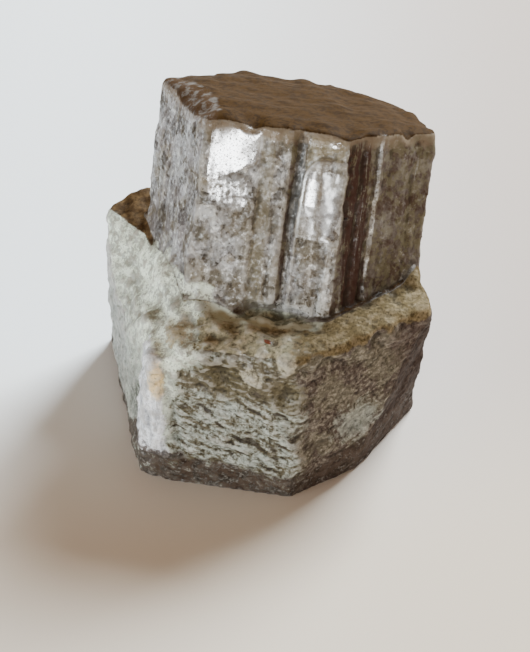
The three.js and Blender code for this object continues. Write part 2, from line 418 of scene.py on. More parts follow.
def foot_zones(place):
    slope = FOOT_SLOPE_RIGHT if place.x > FRONT_CORNER_X else FOOT_SLOPE_LEFT
    line = FOOT_TIP + slope * abs(place.x - FRONT_CORNER_X) + 0.6 * wave(place, 0.5)
    line -= FOOT_DROP_LEFT * smooth_step(place.y, -11, -6) * fade(place.x, -10, -6)
    return {"foot": fade(place.z - line, -0.9, 0.9)}


def zones_at(place, facing):
    lean, outside, _, _ = on_upper(place)
    zone = upper_zones(place, facing, lean, outside)
    lower = 1 - zone["upper"]
    zone.update(side_zones(place, facing, zone["upper"]))
    zone.update(ledge_zones(place, facing, lower))
    zone.update(pale_zones(place, facing, lower, zone["wing"]))
    zone.update(join_zones(place, outside, zone["upper"], zone["wing"]))
    zone.update(pillar_zones(place, lower))
    zone.update(foot_zones(place))
    return zone


ZONE_NAMES = tuple(zones_at(UPPER_FOOT, Vector((0, 0, 1))))
print("zones:", len(ZONE_NAMES))

# %% [markdown]
# The front of the upper crystal shows its growth best. Slices of the twin stand at slightly different
# depths: a bright flat slice on the left, an olive strip, a dark channel, and a second slice with an
# arched top. Each could be a cut in the mesh. As marks with soft edges, they serve the carving and the
# finish alike.

# %% Marks on the front face
def flash_mark(across, up):
    low_edge = 8.6 + 0.5 * max(across - 0.6, 0)
    slice_flash = within(across, 0.7, 5.7, 0.3) * within(up, low_edge, 15.2 - 0.13 * across, 0.3)
    tail = 0.5 * within(across, 0.7, 5.2, 0.4) * within(up, 6, 9.5, 1)
    glint = within(across, 10.3, 12.4, 0.3) * within(up, 7.6, 10.4, 0.3)
    rim_places = max(within(across, 10, 13.8, 0.3), within(across, 6.4, 7.2, 0.2))
    return max(slice_flash, tail, glint, 0.55 * rim_places * within(up, 13.5, 14.6, 0.2))


def front_marks(place, across, up):
    channel = within(across, 8.71 + 0.07 * up, 9.68 + 0.06 * up, 0.25)
    arch = 12.5 - 0.35 * max(12.4 - across, 0) ** 2
    hem_height = place.z + wave(place, 0.8) - LEDGE
    return {
        "flash": flash_mark(across, up),
        "sheen": within(across, 10, 14.4, 0.3) * within(up, 4.2, 11.3, 0.5),
        "strip": within(across, 5.9, 7.3, 0.25),
        "channel": channel * (0.35 + 0.65 * smooth_step(up, 2, 7)),
        "recess": within(across, 10.2, 14.2, 0.3) * within(up, arch, 14.7, 0.2),
        "hem": within(across, 8.8, 14, 0.8) * fade(hem_height, 0.8, 2.4),
    }


print("the front face is", UPPER_SIDES[FRONT], "mm wide")

# %% [markdown]
# Round the corner a sunken red-brown band carries the strongest striations, with a thin crest beside it.
# Under the foot of the front face a mark holds a painted dark green shade, where the ledge runs in under
# the crystal.

# %% Marks round the corner and under the foot
PAINTED_MARKS = ("flash", "sheen", "strip", "channel", "recess", "band", "shade", "hem")
NO_MARKS = {name: 0 for name in (*PAINTED_MARKS, "crest")}


def corner_marks(run, up):
    start = 1.1 - 0.08 * up
    band = smooth_step(run, start - 0.3, start + 0.3) * fade(run, start + 2.2, start + 3.8)
    return {"band": band, "crest": within(run, 4.2, 4.6, 0.2) * within(up, 8.5, 14.9, 0.8)}


def shade_mark(place, outside, across):
    reach = 2.6 + 1.2 * wave(place, 0.5) + 0.6 * wave(place, 1.6)
    return fade(outside, 0, max(reach, 0.5)) * within(across, 3, 13.5, 1.5)


def marks_at(place, zone):
    marks = dict(NO_MARKS)
    lean, outside, side, across = on_upper(place)
    if side == FRONT and abs(place.z - LEDGE) < 1:
        marks["shade"] = shade_mark(place, outside, across)
    if zone["upper"] < 0.3:
        return marks
    if side == FRONT:
        marks.update(front_marks(place, across, lean.z))
    if side == FRONT_RIGHT:
        marks.update(corner_marks(across, lean.z))
    elif side == FRONT and across > 14:
        marks.update(corner_marks(across - UPPER_SIDES[FRONT], lean.z))
    return marks


print("marks:", len(NO_MARKS))

# %% [markdown]
# The carving is a sum of noises in millimetres. A bump map would leave the outline smooth, so the mesh
# itself is moved. Some of the noises are squeezed along the grain, which draws them out into striations or
# streaks.

# %% Noise along the grain
ALONG_UPPER = 0.11
ALONG_LOWER = 0.3


def grain_noise(place, along, scale, seed):
    """Noise drawn out along z where along is small."""
    point = Vector((place.x, place.y, place.z * along)) * scale
    return noise.noise(point + Vector((seed, 2 * seed, 3 * seed)))


def streak_noise(place, scale, seed):
    """Noise drawn out sideways, for the streaks of the lower crystal."""
    point = Vector((place.x * ALONG_LOWER, place.y * ALONG_LOWER, place.z)) * scale
    return noise.noise(point + Vector((seed, 2 * seed, 3 * seed)))


def streak_at(place):
    streaked = Vector((place.x, place.y, streak_height(place)))
    streaked.z += 0.5 * wave(place, 0.5) + 0.25 * wave(place, 1.4)
    return streak_noise(streaked, 1.7, 7) + 0.7 * streak_noise(streaked, 3.1, 9)


print("striations are drawn out", round(1 / ALONG_UPPER), "times")

# %% [markdown]
# The lower crystal swells gently, has a few lumps and pits that catch the eye, a rounded slim crystal at
# its corner, and a lumpy rim round the ledge.

# %% Relief of the lower crystal
# Lumps and pits: middle, reach and height
LUMPS = (
    ((-4.4, -16, 14.9), 2.4, -0.65), ((1.8, -17.4, 13.6), 2, -0.6), ((9.3, -13.5, 7.3), 2.2, -0.2),
    ((1.9, -17.4, 17.7), 1.4, 0.4), ((-1.8, -16.7, 16.2), 1.4, 0.25), ((-0.8, -16.5, 18), 1.2, 0.25),
    ((-9, -12.6, 17.7), 1.9, 0.35), ((-6.6, -15.6, 17.6), 1.4, 0.25), ((6.5, -15, 17.8), 1.6, 0.3),
    ((12, -11.6, 17.6), 1.6, 0.25),
)
RIM_BOTTOM, RIM_TOP = 15.5, 19.5


def lump_at(place):
    return sum(height * fade((place - Vector(middle)).length, 0, reach) for middle, reach, height in LUMPS)


def pillar_relief(place, zone):
    rounded = max(1 - (2 * pillar_share(place) - 1) ** 2, 0)
    grained = 0.12 * grain_noise(place, 0.25, 1.3, 13) + 0.08 * wave(place, 1.7)
    return zone["pillar"] * (0.1 + 0.6 * rounded + grained) - 0.4 * zone["seam"]


def lower_relief(place, zone, mark, streak):
    lower = 1 - zone["upper"]
    swell = 0.14 * wave(place, 0.22) + 0.2 * wave(place, 0.5) + lump_at(place)
    rim_lumps = 0.4 * wave(place, 0.5) + 0.2 * wave(place, 1.2)
    rim_lumps *= within(place.z, RIM_BOTTOM, RIM_TOP, 1) * (1 - 0.6 * max(zone["pale"], zone["shoulder"]))
    streaked = max(lower - zone["ledge"], 0) * (0.13 - 0.06 * zone["right"]) * (1 - 0.7 * zone["pale"])
    relief = lower * (swell + rim_lumps) + streaked * streak + pillar_relief(place, zone)
    relief += zone["pale"] * 0.22 * wave(place, 1.1) + zone["ledge"] * 0.22 * wave(place, 0.6)
    return relief - 0.08 * mark["shade"]


print("lumps and pits:", len(LUMPS))

# %% [markdown]
# The upper crystal carries striations, the steps between its slices and a lumpy edge round the top. The
# slices that flash stay calm, because a rough face would break up the mirror image of the window.

# %% Relief of the upper crystal, and the sum
def upper_relief(place, lean, outside, zone, mark):
    rough_patch = 0.4 + 0.6 * smooth_step(wave(place, 0.35), -0.2, 0.3)
    striation = 0.09 * rough_patch * grain_noise(lean, ALONG_UPPER, 1.9, 3)
    striation += 0.12 * grain_noise(lean, 0.2, 0.8, 5)
    striation += 0.12 * mark["band"] * grain_noise(lean, 0.08, 1.6, 11)
    slices = 0.25 * mark["crest"] - 0.12 * mark["strip"] - 0.2 * mark["channel"]
    slices -= 0.28 * mark["recess"] + 0.22 * mark["band"]
    near_edge = fade(-outside, 0.5, 3)
    grains = 0.05 * wave(place, 2.3) + 0.08 * wave(place, 0.9)
    grains += (0.15 + 0.35 * near_edge) * zone["rim"] * wave(place, 0.45)
    grains += 0.12 * zone["top"] * wave(place, 1.3)
    calm = 1 - max(0.85 * mark["flash"], 0.6 * mark["sheen"])
    return grains * calm + (zone["upper"] - zone["top"]) * (striation * calm + slices)


def relief_at(place, zone, mark, streak):
    lean, outside, _, _ = on_upper(place)
    relief = 0.14 * wave(place, 0.22) + upper_relief(place, lean, outside, zone, mark)
    return relief + lower_relief(place, zone, mark, streak)


def measure(shape):
    places = [vert.co / MM for vert in shape.verts]
    facings = [vert.normal.copy() for vert in shape.verts]
    zones = [zones_at(*each) for each in zip(places, facings)]
    marks = [marks_at(*each) for each in zip(places, zones)]
    return places, facings, zones, marks


places, facings, zones, marks = measure(stone_shape)
print("vertices on the upper crystal:", sum(zone["upper"] > 0.5 for zone in zones))

# %% [markdown]
# Before the carving, crust fills the inner corners. A copy of the mesh is melted smooth: where the melted
# copy lies outside the stone there is a hollow. Boxes of crust could be added, but moving the hollow's own
# surface out towards the melted one leaves no seam. Silt levels the ledge under the front of the upper
# crystal.

# %% Filling the hollows
CRUST_FILL = 0.6
FILL_ROUNDS = 50
SILT_LEVEL = LEDGE - 0.1
SILT_DEPTH = 1.6
SILT_SHARE = 0.85
SILT_FRONT_Y, SILT_HALF_WIDTH = -14, 7


def hollowness(shape, rounds):
    melted = shape.copy()
    soften(melted, melted.verts, rounds)
    depths = [(soft.co - hard.co).dot(hard.normal) / MM for soft, hard in zip(melted.verts, shape.verts)]
    melted.free()
    return depths


def fill_hollows(shares):
    for vert, share, depth in zip(stone_shape.verts, shares, hollowness(stone_shape, FILL_ROUNDS)):
        vert.co += vert.normal * max(depth, 0) * share * MM


def crust_share(place, zone):
    share = CRUST_FILL * (1 - zone["upper"]) * smooth_step(place.z, 1, 3) * (1 + 0.5 * zone["ledge"])
    return max(share, zone["junction"])


def takes_silt(place):
    under_front = place.y > SILT_FRONT_Y and abs(place.x) < SILT_HALF_WIDTH
    return under_front and SILT_LEVEL - SILT_DEPTH < place.z < SILT_LEVEL and on_upper(place)[1] > 0


fill_hollows([crust_share(*each) for each in zip(places, zones)])
for vert, place, facing in zip(stone_shape.verts, places, facings):
    if takes_silt(place):
        vert.co.z += SILT_SHARE * (SILT_LEVEL - place.z) * smooth_step(facing.z, 0.1, 0.5) * MM
print("vertices raised by silt:", sum(takes_silt(place) for place in places))

# %% [markdown]
# Handling has worn the edge between the top and the left face, the flat top and the rim of the ledge. The
# worn edge is pushed in along a slanting direction, and the rest is softened in rounds. The join is filled
# once more afterwards, because softening opens it. The slices that flash are softened until they are
# almost flat.

# %% Wearing
STANDING = 0.3
WORN_SHARE = 0.6

worn_way = (from_upper @ Vector((*upper_walls[LEFT_FACE][2], 1))).normalized()
for vert, place, zone in zip(stone_shape.verts, places, zones):
    depth = worn_depth(on_upper(place)[0])
    if zone["upper"] > 0.5 and depth < 0:
        vert.co += worn_way * depth * WORN_SHARE * MM


def verts_where(test):
    rows = zip(stone_shape.verts, zones, marks)
    return [vert for vert, zone, mark in rows if test(vert.co.z / MM, zone, mark)]


join_verts = verts_where(lambda z, zone, mark: zone["junction"] > 0.1)
soften(stone_shape, verts_where(lambda z, zone, mark: zone["top"] > 0.3), 10)
soften(stone_shape, verts_where(lambda z, zone, mark: zone["upper"] < 0.5 and z > STANDING), 7)
soften(stone_shape, verts_where(lambda z, zone, mark: zone["upper"] < 0.3 and z > RIM_BOTTOM), 22)
soften(stone_shape, join_verts, 25)
fill_hollows([zone["junction"] for zone in zones])
soften(stone_shape, join_verts, 6)
soften(stone_shape, verts_where(lambda z, zone, mark: max(mark["flash"], mark["sheen"]) > 0.02), 25)
print("vertices along the join:", len(join_verts))

# %% [markdown]
# Now every vertex moves along its normal by the relief. The flat foot is left alone, because the specimen
# stands on it. The edge of the top is softened once more, since the real one is rubbed and not sharp.

# %% Carving
places, facings, zones, marks = measure(stone_shape)
streaks = [streak_at(place) for place in places]
reliefs = [relief_at(*each) for each in zip(places, zones, marks, streaks)]
for vert, place, facing, relief in zip(stone_shape.verts, places, facings, reliefs):
    lift = smooth_step(place.z, 0, STANDING)
    vert.co = (place + facing * relief * lift) * MM
    vert.co.z = max(vert.co.z, 0)
soften(stone_shape, verts_where(lambda z, zone, mark: zone["rim"] > 0.6 and mark["flash"] < 0.1), 8)
print("carved depth in mm:", round(min(reliefs), 2), "to", round(max(reliefs), 2))

# %% [markdown]
# Dirt gathers in hollows and ridges wear pale. A pointiness node could find them, but it works in one
# renderer only, so the melted copy is used again, with few rounds for fine hollows and many for wide ones.

# %% Hollows and ridges
FINE_ROUNDS = 6
WIDE_ROUNDS = 60

fine_hollows = hollowness(stone_shape, FINE_ROUNDS)
wide_hollows = hollowness(stone_shape, WIDE_ROUNDS)
print("deepest fine hollow in mm:", round(max(fine_hollows), 3), " wide:", round(max(wide_hollows), 2))

# %% [markdown]
# The finish can't call these functions, so their values are stored on the vertices as attributes. The
# grain is stored as a place that is already squeezed, so a plain noise read there comes out drawn along
# the grain.

# %% Attributes for the finish
LOWER_GRAIN_SHIFT = 50


def store(name, values):
    layer = stone_shape.verts.layers.float.new(name)
    for vert, value in zip(stone_shape.verts, values):
        vert[layer] = value


def grain_place(place, zone):
    if zone["upper"] > 0.5:
        lean = on_upper(place)[0]
        return Vector((lean.x, lean.y, lean.z * ALONG_UPPER))
    return Vector((place.x * ALONG_LOWER, place.y * ALONG_LOWER, streak_height(place) + LOWER_GRAIN_SHIFT))


for name in ZONE_NAMES:
    store(name, [zone[name] for zone in zones])
for name in PAINTED_MARKS:
    store(name, [mark[name] for mark in marks])
store("streak", streaks)
store("fine_hollow", fine_hollows)
store("wide_hollow", wide_hollows)
grain_layer = stone_shape.verts.layers.float_vector.new("grain")
for vert, place, zone in zip(stone_shape.verts, places, zones):
    vert[grain_layer] = grain_place(place, zone)
for face in stone_shape.faces:
    face.smooth = True
stone_shape.to_mesh(stone_mesh)
stone_shape.free()
stone_mesh.name = "aragonite_stone"
stone = add_object("aragonite_stone", stone_mesh)
print("stone:", len(stone_mesh.polygons), "faces,", len(stone_mesh.attributes), "attributes")

# %% [markdown]
# A finish is a set of nodes, and sums of nodes are easier to read as sums. The class below wraps a socket
# so that plus, minus and times add Math nodes, and one method makes any other node.

# %% Sums of nodes
class Value:
    def __init__(self, finish, socket):
        self.finish = finish
        self.socket = socket

    def math(self, operation, first, second):
        return self.finish.node("ShaderNodeMath", {"operation": operation}, {0: first, 1: second})

    def __add__(self, other):
        return self.math("ADD", self, other)

    def __sub__(self, other):
        return self.math("SUBTRACT", self, other)

    def __mul__(self, other):
        return self.math("MULTIPLY", self, other)

    def __rsub__(self, other):
        return self.math("SUBTRACT", other, self)

    __radd__ = __add__
    __rmul__ = __mul__


print("sums of nodes: plus, minus and times")

# %% [markdown]
# One object holds a material while it is built. Its short methods name the nodes that the finishes need
# again and again: a noise, a soft step, a colour mix, a spot and a shader.

# %% Finish tools
class Finish:
    def __init__(self, name):
        self.material = bpy.data.materials.new(name)
        self.material.use_nodes = True
        self.tree = self.material.node_tree
        self.tree.nodes.clear()

    def node(self, kind, settings, inputs, output=0):
        made = self.tree.nodes.new(kind)
        for key, value in settings.items():
            setattr(made, key, value)
        for key, value in inputs.items():
            if isinstance(value, Value):
                self.tree.links.new(value.socket, made.inputs[key])
            else:
                made.inputs[key].default_value = value
        return Value(self, made.outputs[output])

    def attribute(self, name, output="Fac"):
        return self.node("ShaderNodeAttribute", {"attribute_name": name}, {}, output)

    def noise(self, vector, scale, detail=2.0, roughness=0.5, distortion=0.0, output="Fac"):
        inputs = {"Vector": vector, "Scale": scale, "Detail": detail}
        inputs.update({"Roughness": roughness, "Distortion": distortion})
        return self.node("ShaderNodeTexNoise", {}, inputs, output)

    def cells(self, vector, scale):
        """A random colour for each of many small cells."""
        return self.node("ShaderNodeTexVoronoi", {}, {"Vector": vector, "Scale": scale}, "Color")

    def part(self, vector, axis):
        return self.node("ShaderNodeSeparateXYZ", {}, {0: vector}, axis)

    def step(self, value, low, high):
        inputs = {"Value": value, "From Min": low, "From Max": high}
        return self.node("ShaderNodeMapRange", {"interpolation_type": "SMOOTHSTEP"}, inputs)

    def larger(self, first, second):
        return self.node("ShaderNodeMath", {"operation": "MAXIMUM"}, {0: first, 1: second})

    def layer(self, under, over, share):
        """One colour laid over another by a share from 0 to 1."""
        return self.node("ShaderNodeMix", {"data_type": "RGBA"}, {0: share, 6: under, 7: over}, 2)

    def vector(self, operation, first, second):
        return self.node("ShaderNodeVectorMath", {"operation": operation}, {0: first, 1: second})

    def scaled(self, vector, scale):
        return self.node("ShaderNodeVectorMath", {"operation": "SCALE"}, {0: vector, "Scale": scale})

    def spot(self, place, middle, reach):
        """1 in the middle of a spot, 0 at its reach, and below 0 beyond."""
        share = self.vector("DIVIDE", self.vector("SUBTRACT", place, middle), reach)
        return 1 - self.node("ShaderNodeVectorMath", {"operation": "LENGTH"}, {0: share}, "Value")

    def shader(self, **inputs):
        named = {name.replace("_", " "): value for name, value in inputs.items()}
        return self.node("ShaderNodeBsdfPrincipled", {}, named)

    def surface(self, shader):
        end = self.tree.nodes.new("ShaderNodeOutputMaterial")
        self.tree.links.new(shader.socket, end.inputs["Surface"])
        return self.material


def tint(red, green, blue):
    return (red, green, blue, 1)


print("a tint has red, green, blue and a full cover:", tint(1, 1, 1))

# %% [markdown]
# The sheet carries painted light and shade: cold white on the left, where the light is brightest, dusky on
# the right, where it falls off, and warm in front, a painted shadow where daylight falls short. Coloured
# lamps could do this too, but they would colour the stone as well, so the sheet carries the tints.

# %% Finish of the floor
SHEET_COLD = tint(0.92, 0.95, 0.97)
SHEET_PAINTED_DUSK = tint(0.56, 0.47, 0.41)
SHEET_PAINTED_SHADOW = tint(0.72, 0.6, 0.46)
SHEET_ROUGHNESS = 0.95

sheet = Finish("pale_sheet")
sheet_place = sheet.node("ShaderNodeTexCoord", {}, {}, "Object")
# Painted light and shade: dusky to the right, and warm in front as painted shadow.
rightward = sheet.step(sheet.part(sheet_place, "X"), -0.03, 0.04)
frontward = sheet.step(0 - sheet.part(sheet_place, "Y"), -0.01, 0.03)
sheet_tint_and_light = sheet.layer(SHEET_COLD, SHEET_PAINTED_DUSK, rightward)
sheet_tint_and_light = sheet.layer(sheet_tint_and_light, SHEET_PAINTED_SHADOW, 0.8 * frontward)
floor.data.materials.append(sheet.surface(sheet.shader(Base_Color=sheet_tint_and_light, Roughness=SHEET_ROUGHNESS)))
print("nodes in the floor's finish:", len(sheet.tree.nodes))

# %% [markdown]
# The stone's finish is laid on as the minerals lie: a grey-brown body, flecks and specks, then the pale
# growth, the brown top and the dirt. A photograph could be projected, but it would hold one light and one
# side only. A few noises of different sizes are shared by the layers, so that many of them break up at the
# same places.

# %% Noises shared by the finish
skin = Finish("aragonite")
step = skin.step
layer = skin.layer
place = skin.scaled(skin.node("ShaderNodeTexCoord", {}, {}, "Object"), 1 / MM)
grain = skin.attribute("grain", "Vector")
zone = {name: skin.attribute(name) for name in ZONE_NAMES}
mark = {name: skin.attribute(name) for name in PAINTED_MARKS}
streak = skin.attribute("streak")

cloud = skin.noise(place, 0.3, 3) - 0.5
stains = skin.noise(place, 0.42, 4, 0.6, 0.5) - 0.5
mottle = skin.noise(place, 0.9, 5, 0.62) - 0.5
speck = skin.noise(place, 2.4, 4, 0.7) - 0.5
drawn = skin.noise(grain, 0.9, 5, 0.65, 0.3) - 0.5
fine_drawn = skin.noise(grain, 2.6, 4, 0.65) - 0.5
ragged = 0.7 * speck + 0.4 * mottle
torn = 1.5 * mottle + 0.8 * speck


def coats(body, *over):
    """Colours laid over a body one after the other, each with its share."""
    for coat, share in over:
        body = layer(body, coat, share)
    return body


def tell_nodes():
    print("nodes so far:", len(skin.tree.nodes))


def patchy(low, high, fine=0.4):
    """A share in millimetre patches with frayed edges."""
    return step(mottle + fine * speck, low, high)


def grainy(low, high, coarse=0.5):
    """A share in fine grains that gather in patches."""
    return step(speck + coarse * mottle, low, high)


tell_nodes()

# %% [markdown]
# The upper crystal is grey to violet with brown stains, silvery patches, dark specks and white flecks,
# which are partly painted glints of tiny facets. Each is a mix between two colours by a noise of its own
# size.

# %% Body of the upper crystal
GREY_BROWN = tint(0.15, 0.135, 0.107)
GREY_VIOLET = tint(0.25, 0.245, 0.24)
LEFT_VIOLET = tint(0.135, 0.122, 0.127)
BROWN_PATCH = tint(0.108, 0.088, 0.06)
SILVER_PATCH = tint(0.34, 0.345, 0.335)
WHITE_FLECK_AND_GLINT = tint(0.7, 0.69, 0.65)
DARK_SPECK = tint(0.028, 0.022, 0.018)

drawn_flecks_and_glints = step(drawn + 0.5 * speck - 0.12 * zone["left"] - 0.2 * zone["rim"], 0.04, 0.18)
upper_body = coats(
    GREY_BROWN,
    (GREY_VIOLET, step(cloud + 0.5 * mottle, -0.07, 0.07)),
    (LEFT_VIOLET, 0.75 * zone["left"]),
    (BROWN_PATCH, 0.8 * step(stains, 0, 0.1)),
    (BROWN_PATCH, 0.5 * step(mottle + 0.3 * drawn, -0.02, 0.14)),
    (SILVER_PATCH, 0.45 * step(0.4 * cloud - mottle, 0, 0.18)),
    # White flecks, partly painted glints of tiny facets.
    (WHITE_FLECK_AND_GLINT, 0.35 * drawn_flecks_and_glints),
    (WHITE_FLECK_AND_GLINT, 0.5 * step(speck - 0.4 * mottle, 0.08, 0.2)),
    (DARK_SPECK, 0.7 * step(0.4 * mottle - speck, 0.06, 0.18)),
)
tell_nodes()

# %% [markdown]
# Up close the body is made of crystal grains about a millimetre wide, some bright and some dim. Noise
# alone looks like lichen, so Voronoi cells with wavy walls brighten or dim whole grains.

# %% Crystal grains
GRAIN_SCALE = 0.85
GRAIN_STRETCH = (1, 1, 0.6)
BRIGHT_GRAIN = (1.7, 1.75, 1.8)
DIM_GRAIN = (0.45, 0.43, 0.42)

wavy = skin.vector("ADD", place, skin.noise(place, 0.9, 3, output="Color"))
grain_tone = skin.part(skin.cells(skin.vector("MULTIPLY", wavy, GRAIN_STRETCH), GRAIN_SCALE), "X")
bright_body = skin.vector("MULTIPLY", upper_body, BRIGHT_GRAIN)
dim_body = skin.vector("MULTIPLY", upper_body, DIM_GRAIN)
upper_body = layer(upper_body, bright_body, 0.8 * step(grain_tone, 0.6, 0.95))
upper_body = layer(upper_body, dim_body, 0.8 * step(1 - grain_tone, 0.6, 0.95))
print("grain width in mm:", round(1 / GRAIN_SCALE, 2))

# %% [markdown]
# The marks get their own colours: an olive strip, a grey channel, a tan recess under the arch, a white hem
# of small crystals at the foot and the red-brown band. The faces to the right are a darker, mottled brown.
# The ragged noise is added to a mark before its step, so its edge frays like the real one.

# %% Slices, channel and band
OLIVE_STRIP = tint(0.21, 0.185, 0.125)
CHANNEL_GREY = tint(0.11, 0.12, 0.125)
RECESS_TAN = tint(0.25, 0.215, 0.135)
RED_BROWN = tint(0.042, 0.018, 0.013)
HEM_WHITE = tint(0.72, 0.73, 0.7)
FAR_BROWN = tint(0.058, 0.038, 0.026)
FAR_OLIVE = tint(0.112, 0.094, 0.053)

channel_share = step(mark["channel"] + 1.5 * ragged + 0.8 * cloud, 0.4, 0.9)
far_tint = layer(FAR_OLIVE, FAR_BROWN, patchy(-0.05, 0.08, 0.5))
far_tint = layer(far_tint, RED_BROWN, 0.8 * step(stains + 0.4 * mottle, 0, 0.1))
red_streaks = step(mark["band"] * (1 + 4 * fine_drawn + 2.5 * ragged), 0.45, 0.9)
upper_body = coats(
    upper_body,
    (OLIVE_STRIP, 0.5 * step(mark["strip"] + 1.3 * ragged, 0.3, 0.7)),
    (CHANNEL_GREY, 0.6 * channel_share),
    (RECESS_TAN, 0.65 * step(mark["recess"] + ragged, 0.4, 0.6)),
    (far_tint, 0.78 * step(zone["right"] + ragged, 0.4, 0.6)),
    (HEM_WHITE, 0.5 * step(mark["hem"] * (1 + 4 * ragged), 0.6, 1)),
    (RED_BROWN, 0.92 * red_streaks),
)
tell_nodes()

# %% [markdown]
# The front of the lower crystal is olive under a pale crust, with dark dashes where the streaks are deep.
# The same streak value that carved the dashes paints them, so colour and relief agree.

# %% Front of the lower crystal
LOWER_OLIVE = tint(0.1, 0.086, 0.056)
PALE_CRUST = tint(0.37, 0.41, 0.375)
DASH_BROWN = tint(0.045, 0.036, 0.027)

up = skin.part(place, "Z")
high = step(up, 11, 14)
crusted = 0.6 * speck + 0.7 * fine_drawn + 0.4 * mottle + 0.15 * streak - 0.14 * high
dashes = step(0.8 * speck - streak - 0.2 * high, 0.3, 0.5)
front_body = layer(LOWER_OLIVE, PALE_CRUST, 0.8 * step(crusted, -0.13, 0.15))
front_body = layer(front_body, DASH_BROWN, 0.85 * dashes)
tell_nodes()

# %% [markdown]
# The right side is violet-brown with tan threads, a red corner at its upper end, a greenish patch low down
# and a very dark far face. The patches are spots: a distance from a middle, broken up by noise.

# %% Right side of the lower crystal
LOWER_VIOLET = tint(0.07, 0.052, 0.043)
RIGHT_OLIVE = tint(0.105, 0.09, 0.064)
RED_VIOLET = tint(0.048, 0.028, 0.024)
FAR_RED = tint(0.033, 0.019, 0.014)
PALE_TAN = tint(0.23, 0.205, 0.165)
RED_CORNER, RED_REACH = (14.5, -9, 15.5), (5, 6, 5)
GREEN_MIDDLE, GREEN_REACH = (9.3, -13.5, 7.3), (3.8, 3.8, 3.2)

threads = step(fine_drawn + 0.6 * speck + 0.2 * streak, -0.02, 0.16)
red_corner = step(skin.spot(place, RED_CORNER, RED_REACH) + torn, 0.1, 0.7)
green_patch = step(skin.spot(place, GREEN_MIDDLE, GREEN_REACH) + torn, 0.1, 0.6)
right_body = coats(
    LOWER_VIOLET,
    (RIGHT_OLIVE, step(cloud + 0.7 * mottle, -0.08, 0.08)),
    (PALE_TAN, 0.4 * grainy(0, 0.16)),
    (PALE_TAN, 0.3 * threads),
    (DASH_BROWN, 0.45 * dashes),
    (RED_VIOLET, 0.6 * red_corner),
    (FAR_RED, 0.9 * step(zone["far"] + 0.6 * torn, 0.3, 0.8)),
    (PALE_CRUST, 0.4 * green_patch),
)
lower_body = layer(front_body, right_body, step(zone["right"] + torn, 0.25, 0.75))
tell_nodes()

# %% [markdown]
# The pale growth on the left is grey-green with sandy patches. It turns grey low down and violet at its
# far edge. Dirt never sits evenly on it, so its two main tones have crisp borders.

# %% Pale growth
PALE_GREEN = tint(0.84, 0.93, 0.79)
PALE_GREY = tint(0.25, 0.265, 0.235)
PALE_SAND = tint(0.5, 0.45, 0.36)
FLANK_VIOLET = tint(0.3, 0.265, 0.275)
FLANK_GREY = tint(0.23, 0.245, 0.225)

low_down = 1 - step(up + 8 * cloud + 4 * mottle, 8, 16)
pale = coats(
    PALE_GREEN,
    (PALE_GREY, 0.9 * step(speck + 0.9 * mottle + 0.5 * cloud, -0.05, 0.07)),
    (PALE_SAND, 0.35 * step(mottle, 0.02, 0.14)),
    (FLANK_VIOLET, 0.6 * step(zone["flank"] + 0.6 * ragged, 0.3, 0.8)),
)
tell_nodes()

# %% [markdown]
# The slim corner crystal is lilac-white with upright grey streaks and a tan lens in its upper half. The
# seams beside it are dark. Its noise is squeezed upright, as the striations of such a crystal run.

# %% Slim corner crystal
LILAC_WHITE = tint(0.88, 0.92, 0.98)
PILLAR_GREY = tint(0.36, 0.38, 0.42)
PEACH = tint(0.74, 0.54, 0.24)
PEACH_MIDDLE, PEACH_REACH = (-11.3, -14.7, 13.8), (1.1, 3, 3.3)
SEAM_GREY = tint(0.09, 0.1, 0.08)
UPRIGHT = (1, 1, 0.22)

upright = skin.noise(skin.vector("MULTIPLY", place, UPRIGHT), 1.3, 4, 0.65) - 0.5
grey_streaks = step(upright + 0.6 * speck + 0.5 * mottle, -0.06, 0.1)
peach_patch = step(skin.spot(place, PEACH_MIDDLE, PEACH_REACH) + 0.8 * ragged, 0.05, 0.5)
seam_tint = layer(SEAM_GREY, FLANK_GREY, grainy(-0.04, 0.1))
white_crust = layer(LILAC_WHITE, PILLAR_GREY, 0.85 * grey_streaks)
white_crust = layer(PALE_GREY, white_crust, step(zone["pillar"] + 0.6 * ragged, 0.3, 0.9))
pale = coats(
    pale,
    (white_crust, step(zone["pillar"] + torn, 0.3, 0.8)),
    (PEACH, 0.85 * peach_patch),
    (FLANK_GREY, 0.75 * low_down * (1 - zone["pillar"])),
    (seam_tint, 0.85 * step(zone["seam"] + 1.2 * torn, 0.2, 0.8)),
)
pale_share = skin.larger(
    step(zone["pale"] + torn, 0.3, 0.7), step(zone["pillar"] + torn, 0.3, 0.7)
)
lower_body = layer(lower_body, pale, pale_share)
tell_nodes()

# %% [markdown]
# The ledge is olive and tan, with a brown wing at the back left and a tan shoulder on the right. Single
# lumps and pits on the rim have colours of their own, listed with their middles and reaches.

# %% Ledge
LEDGE_OLIVE = tint(0.29, 0.265, 0.175)
LEDGE_TAN = tint(0.42, 0.375, 0.26)
WING_TAN = tint(0.11, 0.068, 0.032)
WING_BROWN = tint(0.05, 0.028, 0.012)
SHOULDER_TAN = tint(0.11, 0.079, 0.036)
SHOULDER_PALE = tint(0.16, 0.12, 0.065)
OLIVE_PIT = tint(0.09, 0.074, 0.04)
WHITE_LUMP = tint(0.36, 0.33, 0.25)
TAN_LUMP = tint(0.36, 0.3, 0.19)
# Colour, middle and reach
PATCHES = (
    (OLIVE_PIT, (-4.4, -16, 14.9), 3), (OLIVE_PIT, (1.8, -17.4, 13.4), 2.7),
    (WHITE_LUMP, (1.9, -17.4, 17.5), 1.5), (WHITE_LUMP, (-1.8, -16.7, 15.6), 1.5),
    (TAN_LUMP, (-9, -12.6, 17.7), 2),
)

